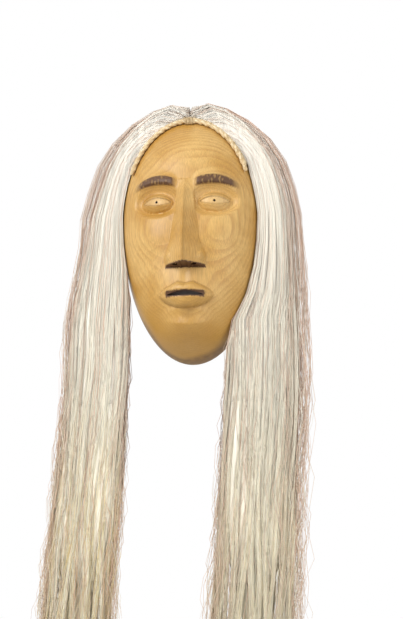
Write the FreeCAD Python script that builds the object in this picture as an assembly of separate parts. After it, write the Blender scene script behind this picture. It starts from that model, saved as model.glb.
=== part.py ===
import FreeCAD, Part
import math
import os

# A carved wooden face mask with two long hanks of horsehair, to be hung on a wall or worn.
# Millimetres. The mask faces -Y, +Z is up and the flat back rim lies in the plane Y = 0.
# The origin is on the back rim at the crown, in the middle of the wall.
# +X is the right-hand side as the mask is looked at, and "left" and "right" below follow that.

# Wooden shell
mask_width = 148.0
mask_height = 262.0
widest_below_crown = 112.0
mask_depth = 66.0  # back rim to the front of the dome, without the carved features
wall = 11.0
dome_power = 2.3  # 2 makes the dome an ellipse, more makes it fuller
brow_below_crown = 86.0
nose_length = 86.0
nose_height = 24.0  # how far the nose's tip stands out of the dome
# Share of the way down the nose, its width where it meets the dome, and how far its ridge stands out
nose_stations = ((0.0, 20.0, 3.0), (0.3, 21.0, 9.0), (0.75, 31.0, 19.0), (0.93, 40.0, nose_height), (1.0, 39.0, 22.5))
nostril_radius = 2.8
nostril_spacing = 19.0
nostril_pitch = 50.0  # degrees that the nostrils are drilled upwards, into the nose's flat base
nostril_depth = 12.0
nostril_from_dome = 8.0
eye_width = 29.5
eye_spacing = 59.0
eye_below_brow = 19.0
sight_hole_radius = 1.1
mouth_below_nose = 29.0
mouth_slot_width = 38.0
mouth_slot_height = 5.0
lip_width = 56.0
lip_stand = 8.0  # how far the lips stand out of the dome
brow_radius = 5.0
brow_stand = 3.0  # how far the brows stand out of the dome
hanging_hole_radius = 2.5
hanging_hole_depth = 12.0
tie_hole_radius = 2.5
tie_hole_from_back = 8.0

# Hide strips, their tacks and the thread that joins them
seat_gap = 0.3  # between a soft piece and what it lies on
hide_thickness = 2.6
hide_length = 58.0  # along X from the parting
hide_back = 14.0  # distance of the strip's back edge from the wall
bead_radius = 2.6
bead_from_back = 39.0
parting_gap = 0.6
tack_head_radius = 3.0
tack_head_height = 1.4
tack_shank_radius = 0.9
tack_shank_length = 9.0
tack_clearance = 0.05  # round the shank and under the head
tack_angles = (10.0, 22.0, 34.0)  # degrees round the crown, from straight up
tack_from_back = 24.0
wrap_length = 9.0
wrap_thickness = 1.1
wrap_clearance = 0.3

# Horsehair: where each hank lies, how it hangs and how it swings
hair_back = 12.0
hair_thickness = 24.0
crown_hair_height = 10.0
cheek_hair_width = 27.0
sway_below_crown = 268.0  # level of the sideways hinge, under the chin
nod_below_sway = 68.0  # the fore and aft hinge, below that
tip_below_crown = 606.0
hair_corner = 5.0
sway_knuckle_radius = 9.0
nod_knuckle_radius = 7.0
knuckle_gap = 0.3
sway_out = 45.0
sway_in = 6.0
nod_forward = 60.0
nod_back = 2.0
swing_margin = 1.5  # degrees of room beyond each limit
# How far each hank's inner and outer edges are from the middle, at the sideways hinge and at the tips
hanks = {
    "left": {"side": -1, "inner": 64.0, "outer": 124.0, "inner_tip": 88.0, "outer_tip": 156.0},
    "right": {"side": 1, "inner": 38.0, "outer": 110.0, "inner_tip": 18.0, "outer_tip": 96.0},
}

half_width = mask_width / 2
crown_z = wall / 2
middle_z = crown_z - widest_below_crown
chin_z = crown_z - mask_height
below_widest = mask_height - widest_below_crown
brow_z = crown_z - brow_below_crown
nose_base_z = brow_z - nose_length
eye_z = brow_z - eye_below_brow
mouth_z = nose_base_z - mouth_below_nose
sway_z = crown_z - sway_below_crown
nod_z = sway_z - nod_below_sway
tip_z = crown_z - tip_below_crown
hair_front = hair_back + hair_thickness
hair_middle_y = -(hair_back + hair_front) / 2
far = 3 * mask_height  # longer than anything that is cut

UP = FreeCAD.Vector(0, 0, 1)
RIGHT = FreeCAD.Vector(1, 0, 0)
BACK = FreeCAD.Vector(0, 1, 0)


def at(x, y, z):
    return FreeCAD.Vector(x, y, z)


def half_dome(radius, depth, height, above, overrun):
    """Half of the egg-shaped dome, with its widest level at Z = 0 and its back face at Y = overrun."""
    points = []
    for step in range(9):
        turn = math.pi / 2 * step / 8
        points.append(at(radius * math.sin(turn) ** (2 / dome_power), -depth * math.cos(turn) ** (2 / dome_power), 0))
    curve = Part.BSplineCurve()
    curve.interpolate(Points=points, InitialTangent=RIGHT, FinalTangent=BACK)
    edges = [curve.toShape()]
    rim = points[-1]
    if overrun:
        edges.append(Part.makeLine(rim, at(radius, overrun, 0)))
    edges.append(Part.makeLine(at(radius, overrun, 0), at(0, overrun, 0)))
    edges.append(Part.makeLine(at(0, overrun, 0), points[0]))
    axis = at(0, -1, 0) if above else at(0, 1, 0)
    solid = Part.Face(Part.Wire(edges)).revolve(at(0, 0, 0), axis, 180)
    stretch = FreeCAD.Matrix()
    stretch.scale(1, 1, height / radius)
    return solid.transformGeometry(stretch)


def dome(grow, overrun=0.0):
    """The mask's outer shape without features, as a solid, grown all round by a distance."""
    radius = half_width + grow
    depth = mask_depth + grow
    upper = half_dome(radius, depth, widest_below_crown + grow, True, overrun)
    lower = half_dome(radius, depth, below_widest + grow, False, overrun)
    solid = upper.fuse(lower).removeSplitter()
    solid.translate(at(0, 0, middle_z))
    return solid


def dome_front(x, z):
    """How far the dome stands in front of the back rim at a place on the face."""
    height = widest_below_crown if z > middle_z else below_widest
    share = math.hypot(x / half_width, (z - middle_z) / height)
    return mask_depth * (1 - share**dome_power) ** (1 / dome_power)


def dome_radius_share(from_back):
    """Share of its full width and height that the dome still has at a distance from the wall."""
    return (1 - (from_back / mask_depth) ** dome_power) ** (1 / dome_power)


def ellipsoid(centre, size):
    """An ellipsoid with the given half lengths along X, Y and Z."""
    stretch = FreeCAD.Matrix()
    stretch.scale(size[0], size[1], size[2])
    solid = Part.makeSphere(1.0).transformGeometry(stretch)
    solid.translate(centre)
    return solid


def block(x0, x1, y0, y1, z0, z1):
    """A box between two corners, in any order."""
    xs, ys, zs = sorted((x0, x1)), sorted((y0, y1)), sorted((z0, z1))
    return Part.makeBox(xs[1] - xs[0], ys[1] - ys[0], zs[1] - zs[0], at(xs[0], ys[0], zs[0]))


def nose():
    """A tapering ridge with a sharp arris down its middle and a flat base."""
    wires = []
    for share, width, stand in nose_stations:
        z = brow_z - share * nose_length
        foot = dome_front(width / 2, z) - 1.0
        back = foot - wall / 2
        corners = [at(-width / 2, -back, z), at(-width / 2, -foot, z), at(0, -dome_front(0, z) - stand, z)]
        corners += [at(width / 2, -foot, z), at(width / 2, -back, z)]
        wires.append(Part.makePolygon(corners + corners[:1]))
    return Part.makeLoft(wires, True, True)


def brow(side):
    """A raised arched band over one eye, rounded at both ends."""
    places = []
    for across, rise in ((0.2, -3.0), (0.5, 2.5), (0.84, -3.0)):
        x = across * eye_spacing
        z = brow_z + rise
        places.append(at(side * x, brow_radius - brow_stand - dome_front(x, z), z))
    path = Part.Wire([Part.Arc(*places).toShape()])
    way = path.Edges[0].tangentAt(path.Edges[0].FirstParameter)
    ring = Part.Wire([Part.Circle(places[0], way, brow_radius).toShape()])
    band = path.makePipeShell([ring], True, False)
    for place in (places[0], places[-1]):
        band = band.fuse(Part.makeSphere(brow_radius, place))
    return band


def cheek(side, grow=0.0):
    """A gentle swelling under one eye, grown all round by a distance."""
    across = eye_spacing / 2 * 1.15
    z = eye_z - 34.0
    front = dome_front(across, z)
    return ellipsoid(at(side * across, -(front - 25.0), z), (30.0 + grow, 27.0 + grow, 27.0 + grow))


def face_features():
    """Nose, brows, cheeks, lips, chin and eyes that stand out of the dome."""
    parts = [nose()]
    for side in (-1, 1):
        eye_x = side * eye_spacing / 2
        eye_front = dome_front(eye_x, eye_z)
        eye = ellipsoid(at(eye_x, -(eye_front - 14.0), eye_z), (eye_width / 2, 12.0, 7.5))
        parts += [brow(side), cheek(side), eye]
    lip_front = dome_front(0, mouth_z)
    for place, height in ((5.5, 8.5), (-6.5, 9.5)):
        centre = at(0, -(lip_front - 12.0), mouth_z + place)
        parts.append(ellipsoid(centre, (lip_width / 2, 12.0 + lip_stand, height)))
    parts.append(ellipsoid(at(0, -22.0, chin_z + 30.0), (30.0, 28.0, 21.0)))
    return parts


def eye_sockets():
    """Shallow hollows round the eyes, cut from the dome."""
    cuts = []
    for side in (-1, 1):
        eye_x = side * eye_spacing / 2
        front = dome_front(eye_x, eye_z)
        cuts.append(ellipsoid(at(eye_x * 0.96, -(front + 8.0), eye_z), (eye_width * 0.75, 15.0, 14.0)))
    return cuts


def drilled_holes():
    """Sight holes, nostrils, the mouth's slot, the tie holes in both side walls and the hanging hole."""
    cuts = []
    for side in (-1, 1):
        cuts.append(Part.makeCylinder(sight_hole_radius, far, at(side * eye_spacing / 2, -far / 2, eye_z), BACK))
        pitch = math.radians(nostril_pitch)
        way = at(0, math.cos(pitch), math.sin(pitch))
        mouth = at(side * nostril_spacing / 2, -dome_front(0, nose_base_z) - nostril_from_dome, nose_base_z)
        outside = 2 * nostril_radius
        cuts.append(Part.makeCylinder(nostril_radius, nostril_depth + outside, mouth - way * outside, way))
    corners = [at(-mouth_slot_width / 2, -far / 2, mouth_z), at(mouth_slot_width / 2, -far / 2, mouth_z)]
    rise = at(0, 0, mouth_slot_height / 2)
    middle = at(0, -far / 2, mouth_z)
    upper = Part.Arc(corners[0], middle + rise, corners[1]).toShape()
    lower = Part.Arc(corners[1], middle - rise, corners[0]).toShape()
    cuts.append(Part.Face(Part.Wire([upper, lower])).extrude(BACK * far))
    cuts.append(Part.makeCylinder(tie_hole_radius, far, at(-far / 2, -tie_hole_from_back, middle_z), RIGHT))
    cuts.append(Part.makeCylinder(hanging_hole_radius, hanging_hole_depth, at(0, 0, 0), at(0, -1, 0)))
    return cuts


def mask_shell():
    """The carved face: a dome with its features, hollowed from behind, with its holes."""
    body = dome(0, overrun=wall)
    for cut in eye_sockets():
        body = body.cut(cut)
    for part in face_features():
        body = body.fuse(part)
    body = body.common(block(-far, far, -far, 0, -far, far))
    body = body.cut(dome(-wall, overrun=wall))
    for cut in drilled_holes():
        body = body.cut(cut)
    for side in (-1, 1):
        for hole in tacks(side, tack_shank_radius + tack_clearance, 0, 0):
            body = body.cut(hole)
    return body


def crown_place(side, angle, from_back, grow):
    """A point above the dome's upper wall by a distance, and the direction straight out of the wall."""
    share = dome_radius_share(from_back)
    turn = math.radians(angle)
    lean = (from_back / mask_depth) ** (dome_power - 1) / mask_depth
    flare = share ** (dome_power - 1)
    sideways = flare * math.sin(turn) / half_width
    out = at(side * sideways, -lean, flare * math.cos(turn) / widest_below_crown)
    out.normalize()
    across = half_width * share * math.sin(turn)
    point = at(side * across, -from_back, middle_z + widest_below_crown * share * math.cos(turn))
    return point + out * grow, out


def tacks(side, shank, head, head_height):
    """One nail for each tack angle: a shank in the wood and a low round head on the hide."""
    made = []
    for angle in tack_angles:
        seat, out = crown_place(side, angle, tack_from_back, seat_gap + hide_thickness + tack_clearance)
        nail = Part.makeCylinder(shank, tack_shank_length, seat - out * tack_shank_length, out)
        if head:
            nail = nail.fuse(Part.makeCylinder(head, head_height, seat, out)).removeSplitter()
        made.append(nail)
    return made


def bead_path(side):
    """The line of a hide strip's rolled front edge, along the crown from the parting to the strip's end."""
    grow = 2 * seat_gap + bead_radius
    end_angle = math.degrees(math.asin(hide_length / (half_width * dome_radius_share(bead_from_back))))
    steps = 7
    places = [crown_place(side, 0.97 * end_angle * step / steps, bead_from_back, grow)[0] for step in range(steps + 1)]
    places[0].x = side * parting_gap / 2
    curve = Part.BSplineCurve()
    curve.interpolate(Points=places)
    return Part.Wire([curve.toShape()]), places[0]


def hide_strip(side):
    """A strip of hide that carries the hair's roots, curved to the crown, with its front edge rolled."""
    inner = dome(seat_gap)
    reach = (side * parting_gap / 2, side * hide_length)
    band = dome(seat_gap + hide_thickness).common(block(*reach, -hide_back, -bead_from_back, middle_z, far)).cut(inner)
    path, start = bead_path(side)
    ring = Part.Wire([Part.Circle(start, RIGHT, bead_radius).toShape()])
    strip = band.fuse(path.makePipeShell([ring], True, False)).removeSplitter()
    for hole in tacks(side, tack_shank_radius + tack_clearance, 0, 0):
        strip = strip.cut(hole)
    return strip


def parting_wrap():
    """A thread wrapping that binds the two rolled edges end to end at the parting."""
    centre = bead_path(1)[1]
    start = at(-wrap_length / 2, centre.y, centre.z)
    bore = bead_radius + wrap_clearance
    sleeve = Part.makeCylinder(bore + wrap_thickness, wrap_length, start, RIGHT)
    sleeve = sleeve.cut(Part.makeCylinder(bore, wrap_length, start, RIGHT))
    return largest(sleeve.cut(dome(seat_gap + hide_thickness + wrap_clearance)))


def edge_at(hank, which, z):
    """Distance from the middle to a hank's inner or outer edge, at a level below the sideways hinge."""
    share = (sway_z - z) / (sway_z - tip_z)
    return hank[which] + share * (hank[which + "_tip"] - hank[which])


def balance_x(hank):
    """Where the sideways hinge stands, straight over the centre of what hangs from it."""
    area = 0.0
    moment = 0.0
    for z, weight in ((sway_z, 1), ((sway_z + tip_z) / 2, 4), (tip_z, 1)):
        inner, outer = edge_at(hank, "inner", z), edge_at(hank, "outer", z)
        area += weight * (outer - inner)
        moment += weight * (outer**2 - inner**2) / 2
    return hank["side"] * moment / area


def front_prism(points):
    """A solid as thick as the hair, from an outline seen from the front."""
    corners = [at(x, -hair_front, z) for x, z in points]
    return Part.Face(Part.makePolygon(corners + corners[:1])).extrude(BACK * hair_thickness)


def knuckle_y(hank, radius):
    return Part.makeCylinder(radius, hair_thickness, at(balance_x(hank), -hair_front, sway_z), BACK)


def knuckle_x(hank, radius, trim=0.0):
    side = hank["side"]
    ends = sorted(side * (edge_at(hank, which, nod_z)) for which in ("inner", "outer"))
    length = ends[1] - ends[0] - 2 * trim
    return Part.makeCylinder(radius, length, at(ends[0] + trim, hair_middle_y, nod_z), RIGHT)


def hair_root(hank):
    """The hair that lies over the crown and against the side of the mask, down to the sideways hinge."""
    side = hank["side"]
    cheek_x = half_width + cheek_hair_width
    top = at(side * parting_gap / 2, -hair_front, crown_z + crown_hair_height)
    widest = at(side * cheek_x, -hair_front, middle_z)
    turn = math.radians(42)
    shoulder = at(
        side * cheek_x * math.sin(turn), -hair_front,
        middle_z + (widest_below_crown + crown_hair_height) * math.cos(turn),
    )
    low_outer = at(side * hank["outer"], -hair_front, sway_z)
    low_inner = at(side * hank["inner"], -hair_front, sway_z)
    inside = at(side * hank["inner"], -hair_front, middle_z)
    parting = at(side * parting_gap / 2, -hair_front, middle_z)
    edges = [Part.Arc(top, shoulder, widest).toShape()]
    corners = [widest, low_outer, low_inner, inside, parting, top]
    edges += [Part.makeLine(a, b) for a, b in zip(corners, corners[1:])]
    solid = Part.Face(Part.Wire(edges)).extrude(BACK * hair_thickness)
    over_hide = dome(3 * seat_gap + hide_thickness + tack_head_height)
    hide_place = block(0, side * (hide_length + seat_gap), 0, -far, middle_z, far)
    solid = solid.cut(over_hide.common(hide_place)).cut(dome(2 * seat_gap)).cut(cheek(side, 2 * seat_gap))
    return largest(solid.cut(knuckle_y(hank, sway_knuckle_radius + knuckle_gap)))


def largest(shape):
    return max(shape.Solids, key=lambda solid: solid.Volume)


def hair_neck(hank):
    """The short length of hair between the sideways hinge and the fore and aft hinge."""
    side = hank["side"]
    pivot = balance_x(hank)
    top = sway_z - knuckle_gap
    outer, inner = side * edge_at(hank, "outer", sway_z), side * edge_at(hank, "inner", sway_z)
    out_drop = abs(outer - pivot) * math.tan(math.radians(sway_out + swing_margin))
    in_drop = abs(inner - pivot) * math.tan(math.radians(sway_in + swing_margin))
    low_outer, low_inner = side * edge_at(hank, "outer", nod_z), side * edge_at(hank, "inner", nod_z)
    outline = [(pivot, top), (outer, top - out_drop), (low_outer, nod_z), (low_inner, nod_z), (inner, top - in_drop)]
    solid = front_prism(outline).fuse(knuckle_y(hank, sway_knuckle_radius))
    return solid.cut(knuckle_x(hank, nod_knuckle_radius + knuckle_gap)).removeSplitter()


def hair_fall(hank):
    """The long free end of the hank, from the fore and aft hinge to the tips."""
    side = hank["side"]
    wires = []
    for z in (nod_z - knuckle_gap, tip_z):
        xs = [side * edge_at(hank, which, z) for which in ("inner", "outer", "outer", "inner")]
        ys = [-hair_front, -hair_front, -hair_back, -hair_back]
        corners = [at(x, y, z) for x, y in zip(xs, ys)]
        wires.append(Part.makePolygon(corners + corners[:1]))
    solid = Part.makeLoft(wires, True, True)
    long_edges = [edge for edge in solid.Edges if abs(edge.tangentAt(edge.FirstParameter).z) > 0.9]
    solid = solid.makeFillet(hair_corner, long_edges)
    for swing, way in ((nod_forward, -1), (nod_back, 1)):
        slope = math.tan(math.radians(swing + swing_margin))
        reach = hair_thickness
        top = nod_z - knuckle_gap
        corners = [
            at(0, hair_middle_y, top),
            at(0, hair_middle_y + way * reach, top - slope * reach),
            at(0, hair_middle_y + way * reach, top + reach),
            at(0, hair_middle_y, top + reach),
        ]
        wedge = Part.Face(Part.makePolygon(corners + corners[:1])).extrude(RIGHT * side * far)
        solid = solid.cut(wedge)
    return solid.fuse(knuckle_x(hank, nod_knuckle_radius, hair_corner)).removeSplitter()


def save(name, shape):
    solids = shape.Solids
    problems = [solid for solid in solids if not solid.isValid() or solid.Volume <= 0]
    print(name, "solids", len(solids), "volume", round(sum(solid.Volume for solid in solids)), "faults", len(problems))
    whole = solids[0] if len(solids) == 1 else Part.makeCompound(solids)
    whole.exportStep(os.path.join("parts", name + ".step"))


os.makedirs("parts", exist_ok=True)
save("mask_shell", mask_shell())
save("parting_wrap", parting_wrap())
for hank_name, hank in hanks.items():
    side = hank["side"]
    save(hank_name + "_hide_strip", hide_strip(side))
    save(hank_name + "_tacks", Part.makeCompound(tacks(side, tack_shank_radius, tack_head_radius, tack_head_height)))
    save(hank_name + "_hair_root", hair_root(hank))
    save(hank_name + "_hair_neck", hair_neck(hank))
    save(hank_name + "_hair_fall", hair_fall(hank))
    print(hank_name, "hinges at x", round(balance_x(hank), 3), "z", sway_z, "and y", hair_middle_y, "z", nod_z)
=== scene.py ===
import math

import bpy
import numpy as np
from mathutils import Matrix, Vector


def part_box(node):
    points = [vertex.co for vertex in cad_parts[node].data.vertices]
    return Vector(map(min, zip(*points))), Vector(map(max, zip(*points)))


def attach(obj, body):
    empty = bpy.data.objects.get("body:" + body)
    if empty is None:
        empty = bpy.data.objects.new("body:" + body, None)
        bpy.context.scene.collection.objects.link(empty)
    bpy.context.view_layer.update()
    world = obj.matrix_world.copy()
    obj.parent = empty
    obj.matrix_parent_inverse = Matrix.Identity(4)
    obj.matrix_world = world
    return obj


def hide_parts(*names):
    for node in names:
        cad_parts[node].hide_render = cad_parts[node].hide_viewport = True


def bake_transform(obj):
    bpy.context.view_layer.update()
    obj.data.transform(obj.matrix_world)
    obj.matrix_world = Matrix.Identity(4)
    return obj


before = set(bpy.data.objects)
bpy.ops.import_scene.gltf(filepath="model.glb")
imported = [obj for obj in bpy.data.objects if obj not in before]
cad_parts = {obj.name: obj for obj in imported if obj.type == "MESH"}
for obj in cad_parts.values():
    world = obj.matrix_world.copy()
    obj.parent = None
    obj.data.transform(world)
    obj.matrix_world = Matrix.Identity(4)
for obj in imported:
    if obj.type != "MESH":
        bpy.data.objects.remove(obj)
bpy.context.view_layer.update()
maskLow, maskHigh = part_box("mask_shell")
mm = 0.001  # metres in a millimetre


def clearSelection():
    if bpy.context.object and bpy.context.object.mode != "OBJECT":
        bpy.ops.object.mode_set(mode="OBJECT")
    bpy.ops.object.select_all(action="DESELECT")


def pick(piece):
    clearSelection()
    piece.select_set(True)
    bpy.context.view_layer.objects.active = piece


def settle(piece):
    pick(piece)
    bpy.ops.object.transform_apply(location=True, rotation=True, scale=True)


# a round bar to cut with, its size and place in millimetres
def addBar(radius, length, place, rotation, corners=24):
    clearSelection()
    bpy.ops.mesh.primitive_cylinder_add(
        vertices=corners, radius=radius * mm, depth=length * mm,
        location=Vector(place) * mm, rotation=rotation,
    )
    return bpy.context.object


# cuts a tool's shape out of a piece and throws the tool away
def cutAway(piece, tool):
    pick(piece)
    cut = piece.modifiers.new("drill", "BOOLEAN")
    cut.operation = "DIFFERENCE"
    cut.solver = "EXACT"
    cut.object = tool
    bpy.ops.object.modifier_apply(modifier=cut.name)
    bpy.data.objects.remove(tool, do_unlink=True)


def closeEnds(piece):
    pick(piece)
    bpy.ops.object.mode_set(mode="EDIT")
    bpy.ops.mesh.select_all(action="SELECT")
    bpy.ops.mesh.fill_holes(sides=0)
    bpy.ops.mesh.select_all(action="SELECT")
    bpy.ops.mesh.normals_make_consistent(inside=False)
    bpy.ops.object.mode_set(mode="OBJECT")


def meshPoints(piece):
    points = np.empty(len(piece.data.vertices) * 3)
    piece.data.vertices.foreach_get("co", points)
    return points.reshape(-1, 3)


def setMeshPoints(piece, points):
    piece.data.vertices.foreach_set("co", np.ascontiguousarray(points, dtype=np.float32).ravel())
    piece.data.update()


def paintPoints(piece, name, values):
    layer = piece.data.attributes.new(name, "FLOAT", "POINT")
    layer.data.foreach_set("value", np.ascontiguousarray(values, dtype=np.float32))


def tintPoints(piece, name, colors):
    layer = piece.data.attributes.new(name, "FLOAT_COLOR", "POINT")
    full = np.ones((len(colors), 4), dtype=np.float32)
    full[:, :3] = colors
    layer.data.foreach_set("color", full.ravel())


def smoothStep(low, high, value):
    share = np.clip((value - low) / (high - low), 0.0, 1.0)
    return share * share * (3 - 2 * share)


# a rounded hill that is 1 at its middle and 0 at its edge
def bump(x, z, centerX, centerZ, wide, tall, power=2.0):
    reach = ((x - centerX) / wide) ** 2 + ((z - centerZ) / tall) ** 2
    return np.clip(1 - reach, 0, 1) ** power


def newGroup(name, inputs, outputs):
    group = bpy.data.node_groups.new(name, "ShaderNodeTree")
    for label, kind, value in inputs:
        socket = group.interface.new_socket(label, in_out="INPUT", socket_type=kind)
        if value is not None:
            socket.default_value = value
    for label, kind in outputs:
        group.interface.new_socket(label, in_out="OUTPUT", socket_type=kind)
    return group, group.nodes.new("NodeGroupInput"), group.nodes.new("NodeGroupOutput")


def addNode(tree, kind, links=None, **settings):
    node = tree.nodes.new(kind)
    for name, value in settings.items():
        setattr(node, name, value)
    for socket, value in (links or {}).items():
        target = node.inputs[socket]
        if isinstance(value, bpy.types.NodeSocket):
            tree.links.new(value, target)
        else:
            target.default_value = value
    return node


def math2(tree, operation, a, b, clamp=False):
    node = tree.nodes.new("ShaderNodeMath")
    node.operation = operation
    node.use_clamp = clamp
    for index, value in enumerate((a, b)):
        if isinstance(value, bpy.types.NodeSocket):
            tree.links.new(value, node.inputs[index])
        elif value is not None:
            node.inputs[index].default_value = value
    return node.outputs[0]


def mixColor(tree, factor, a, b, blend="MIX"):
    node = tree.nodes.new("ShaderNodeMix")
    node.data_type = "RGBA"
    node.blend_type = blend
    for index, value in ((0, factor), (6, a), (7, b)):
        if isinstance(value, bpy.types.NodeSocket):
            tree.links.new(value, node.inputs[index])
        else:
            node.inputs[index].default_value = value
    return node.outputs[2]


def remap(tree, value, low, high, toLow=0.0, toHigh=1.0):
    node = addNode(tree, "ShaderNodeMapRange", {0: value, 1: low, 2: high, 3: toLow, 4: toHigh})
    node.interpolation_type = "SMOOTHSTEP"
    return node.outputs[0]


# growth rings round a trunk axis behind the mask, and short fibres along it
def buildGrain():
    group, source, out = newGroup(
        "trunkGrain",
        [("Vector", "NodeSocketVector", None), ("Ring Spacing", "NodeSocketFloat", 0.0024),
         ("Wander", "NodeSocketFloat", 0.006)],
        [("Rings", "NodeSocketFloat"), ("Fibres", "NodeSocketFloat"), ("Patches", "NodeSocketFloat")],
    )
    warp = addNode(group, "ShaderNodeTexNoise", {"Vector": source.outputs[0], "Scale": 9.0, "Detail": 2.0})
    center = addNode(
        group, "ShaderNodeVectorMath", {0: warp.outputs["Color"], 1: (0.5, 0.5, 0.5)}, operation="SUBTRACT"
    )
    push = addNode(group, "ShaderNodeVectorMath", {0: center.outputs[0]}, operation="SCALE")
    group.links.new(source.outputs[2], push.inputs["Scale"])
    bent = addNode(group, "ShaderNodeVectorMath", {0: source.outputs[0], 1: push.outputs[0]}, operation="ADD")
    flat = addNode(group, "ShaderNodeVectorMath", {0: bent.outputs[0], 1: (1.0, 1.0, 0.16)}, operation="MULTIPLY")
    reach = addNode(group, "ShaderNodeVectorMath", {0: flat.outputs[0]}, operation="LENGTH")
    turns = math2(group, "DIVIDE", reach.outputs["Value"], source.outputs[1])
    wave = math2(group, "FRACT", turns, None)
    rise = remap(group, wave, 0.25, 0.92)
    drop = remap(group, wave, 0.94, 1.0, 1.0, 0.0)
    rings = math2(group, "MULTIPLY", rise, drop)
    uneven = addNode(group, "ShaderNodeTexNoise", {"Vector": source.outputs[0], "Scale": 60.0, "Detail": 3.0})
    rings = math2(group, "MULTIPLY", rings, remap(group, uneven.outputs["Fac"], 0.3, 0.7, 0.35, 1.0))
    long = addNode(group, "ShaderNodeVectorMath", {0: bent.outputs[0], 1: (1.0, 1.0, 0.05)}, operation="MULTIPLY")
    fibreLinks = {"Vector": long.outputs[0], "Scale": 1500.0, "Detail": 2.0, "Roughness": 0.6}
    fibres = addNode(group, "ShaderNodeTexNoise", fibreLinks)
    patches = addNode(group, "ShaderNodeTexNoise", {"Vector": source.outputs[0], "Scale": 22.0, "Detail": 4.0})
    group.links.new(rings, out.inputs[0])
    group.links.new(fibres.outputs["Fac"], out.inputs[1])
    group.links.new(patches.outputs["Fac"], out.inputs[2])
    return group


trunkGrain = buildGrain()
print("shader groups ready")


woodLook = {
    "pale": (0.64, 0.40, 0.132, 1),
    "honey": (0.50, 0.268, 0.054, 1),
    "lateWood": (0.38, 0.17, 0.038, 1),
    "stainAndShade": (0.10, 0.042, 0.014, 1),
    "bare": (0.76, 0.55, 0.29, 1),
    "inside": (0.30, 0.155, 0.055, 1),
    "trunkBehind": 0.055,
    "ringSpacing": 0.0021,
}


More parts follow.
